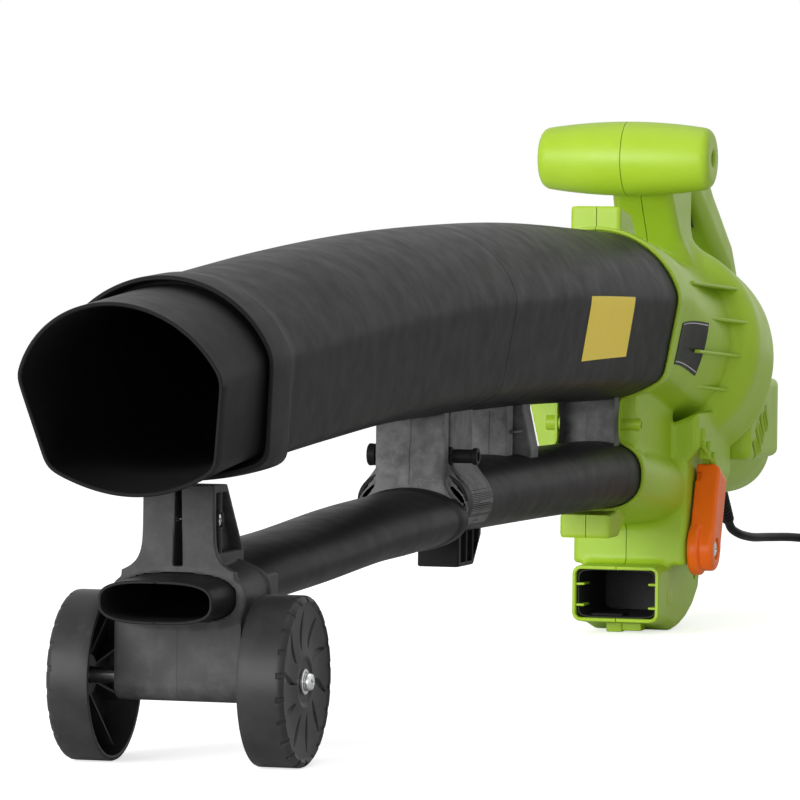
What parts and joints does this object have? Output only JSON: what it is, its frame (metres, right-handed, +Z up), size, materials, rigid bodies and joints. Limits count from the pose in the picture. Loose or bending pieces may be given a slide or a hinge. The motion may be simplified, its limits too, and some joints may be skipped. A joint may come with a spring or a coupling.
{
  "type": "leaf blower vacuum",
  "caption": "Wheeled electric leaf blower vacuum with a wide suction tube over a slim blower tube, motor housing, two grips and a mode lever.",
  "frame": {"origin": "centre of the footprint of the machine without its free cord, on the floor it stands on", "axes": "+X towards the mode lever side, +Y from the suction mouth to the motor, +Z up"},
  "size_m": [0.3011, 1.6357, 0.345],
  "materials": {
    "green_plastic": "satin moulded lime green",
    "black_plastic": "satin black",
    "orange_plastic": "satin orange",
    "inner_plastic": "glass filled nylon",
    "black_rubber": "matt",
    "zinc_steel": "zinc plated",
    "bare_steel": "ground",
    "laminated_steel": "laminated",
    "copper": "varnished copper",
    "carbon": "carbon",
    "brass": "plain"
  },
  "bodies": {
    "machine": {"housing_left": "green_plastic", "housing_right": "green_plastic", "suction_tube_upper": "black_plastic", "suction_tube_lower": "black_plastic", "blower_tube_upper": "black_plastic", "blower_tube_lower": "black_plastic", "joint_bolt": "zinc_steel", "neck_screw": "zinc_steel", "housing_screw_1": "zinc_steel", "housing_screw_2": "zinc_steel", "housing_screw_3": "zinc_steel", "housing_screw_4": "zinc_steel", "carrier_left": "black_plastic", "carrier_right": "black_plastic", "carrier_screw_1": "zinc_steel", "carrier_screw_2": "zinc_steel", "wheel_axle": "bare_steel", "washer_left": "zinc_steel", "washer_right": "zinc_steel", "axle_screw_left": "zinc_steel", "axle_screw_right": "zinc_steel", "motor_bulkhead": "inner_plastic", "motor_bridge": "inner_plastic", "front_bearing": "bare_steel", "rear_bearing": "bare_steel", "stator": "laminated_steel", "brush_holder_left": "brass", "brush_holder_right": "brass", "carbon_brush_left": "carbon", "carbon_brush_right": "carbon", "trigger_pin": "bare_steel", "switch_body": "inner_plastic", "strain_relief": "black_rubber", "mains_cord": "black_rubber", "plug_body": "black_rubber", "plug_pin_left": "brass", "plug_pin_right": "brass"},
    "wheel_l": {"wheel_left": "black_plastic"},
    "wheel_r": {"wheel_right": "black_plastic"},
    "rotor": {"motor_shaft": "bare_steel", "armature": "copper", "commutator": "copper", "cooling_fan": "inner_plastic", "impeller": "inner_plastic", "impeller_nut": "zinc_steel"},
    "diverter": {"mode_lever": "orange_plastic", "lever_screw": "zinc_steel", "flap_shaft": "bare_steel", "diverter_flap": "inner_plastic"},
    "trigger_body": {"trigger": "black_plastic"}
  },
  "joints": [
    {"name": "wheel_left_spin", "type": "hinge", "parent": "machine", "child": "wheel_l", "pos_m": [-0.0515, -0.56, 0.0425], "axis": [1, 0, 0], "continuous": true},
    {"name": "wheel_right_spin", "type": "hinge", "parent": "machine", "child": "wheel_r", "pos_m": [0.0515, -0.56, 0.0425], "axis": [1, 0, 0], "continuous": true},
    {"name": "rotor_spin", "type": "hinge", "parent": "machine", "child": "rotor", "pos_m": [0, 0.485, 0.186], "axis": [0, 0.9781, -0.2079], "continuous": true},
    {"name": "mode_lever_turn", "type": "hinge", "parent": "machine", "child": "diverter", "pos_m": [0.05, 0.403, 0.057], "axis": [1, 0, 0], "range_deg": [0, 75]},
    {"name": "trigger_squeeze", "type": "hinge", "parent": "machine", "child": "trigger_body", "pos_m": [0, 0.50751, 0.30273], "axis": [1, 0, 0], "range_deg": [0, 8], "stiffness_Nm_per_rad": 1, "springref_deg": -5.73}
  ]
}
